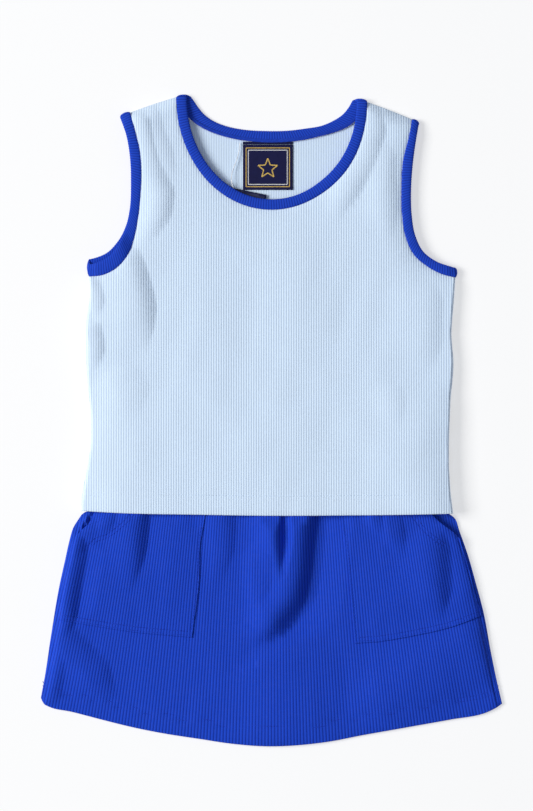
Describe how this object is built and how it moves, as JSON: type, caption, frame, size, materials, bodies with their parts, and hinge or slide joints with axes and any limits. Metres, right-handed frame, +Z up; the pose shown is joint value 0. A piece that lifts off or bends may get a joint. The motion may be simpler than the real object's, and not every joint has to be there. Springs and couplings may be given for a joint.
{
  "type": "two-piece cheer uniform",
  "caption": "Child's ribbed sleeveless top with contrast bindings and a ribbed pull-on skirt with slanted patch pockets, laid flat with the skirt's waist tucked in the top's hem.",
  "frame": {"origin": "on the surface that the clothes lie on, at the middle of the whole outline", "axes": "+Z up out of the front, +Y towards the neck, +X to the right as the front is looked at"},
  "size_m": [0.37, 0.5227, 0.0139],
  "materials": {
    "pale_rib": "matt rib knit, pale blue",
    "royal_rib": "matt rib knit, royal blue",
    "pale_thread": "spun polyester thread, pale blue",
    "blue_thread": "spun polyester thread, royal blue",
    "navy_weave": "damask woven label, navy",
    "navy_thread": "spun polyester thread, navy",
    "navy_card": "matt coated card, navy",
    "clear_nylon": "clear moulded nylon",
    "elastic": "knitted waist elastic, off white"
  },
  "bodies": {
    "top": {"top_front_panel": "pale_rib", "top_back_panel": "pale_rib", "neck_binding": "royal_rib", "armhole_binding_left": "royal_rib", "armhole_binding_right": "royal_rib", "top_side_seam_left": "pale_rib", "top_side_seam_right": "pale_rib", "shoulder_seam_left": "pale_rib", "shoulder_seam_right": "pale_rib", "top_hem_stitching": "pale_thread", "neck_seam": "royal_rib", "armhole_seam_left": "royal_rib", "armhole_seam_right": "royal_rib", "label_stitching": "navy_thread"},
    "skirt": {"skirt_front_panel": "royal_rib", "skirt_back_panel": "royal_rib", "skirt_side_seam_left": "royal_rib", "skirt_side_seam_right": "royal_rib", "waistband": "royal_rib", "waist_elastic": "elastic", "waistband_stitching": "blue_thread", "pocket_left": "royal_rib", "pocket_right": "royal_rib", "pocket_stitching_left": "blue_thread", "pocket_stitching_right": "blue_thread", "skirt_hem_stitching": "blue_thread"},
    "neck_label": {"neck_label": "navy_weave"},
    "swing_tag": {"swing_tag": "navy_card", "tag_fastener": "clear_nylon", "fastener_paddle": "clear_nylon"}
  },
  "joints": [
    {"name": "skirt_draw", "type": "slide", "parent": "top", "child": "skirt", "axis": [0, -1, 0], "range_m": [0, 0.08]},
    {"name": "label_flip", "type": "hinge", "parent": "top", "child": "neck_label", "pos_m": [0, 0.2209, 0.0016], "axis": [-1, 0, 0], "range_deg": [0, 120]},
    {"name": "tag_swing", "type": "hinge", "parent": "top", "child": "swing_tag", "pos_m": [-0.0256, 0.2224, 0.0025], "axis": [0, 0, 1], "range_deg": [-20, 20]}
  ]
}
